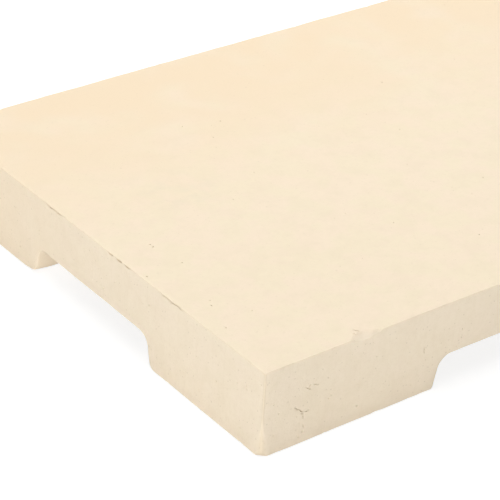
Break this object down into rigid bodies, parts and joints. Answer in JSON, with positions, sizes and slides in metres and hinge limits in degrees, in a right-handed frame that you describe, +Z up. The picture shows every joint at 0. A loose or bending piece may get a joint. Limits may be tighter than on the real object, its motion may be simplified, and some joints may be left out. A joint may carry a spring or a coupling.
{
  "type": "soldering block",
  "caption": "Thick rectangular fired-ceramic slab on corner feet, with wide drafted channels crossing beneath; its flat top carries hot work while parts are soldered.",
  "frame": {"origin": "on the floor, under the middle of the block", "axes": "+X along the long side, +Y along the short side, +Z up through the working face"},
  "size_m": [0.2, 0.15, 0.0255],
  "materials": {
    "fired_ceramic": "matte, unglazed"
  },
  "bodies": {
    "root": {"soldering_block": "fired_ceramic"}
  },
  "joints": []
}
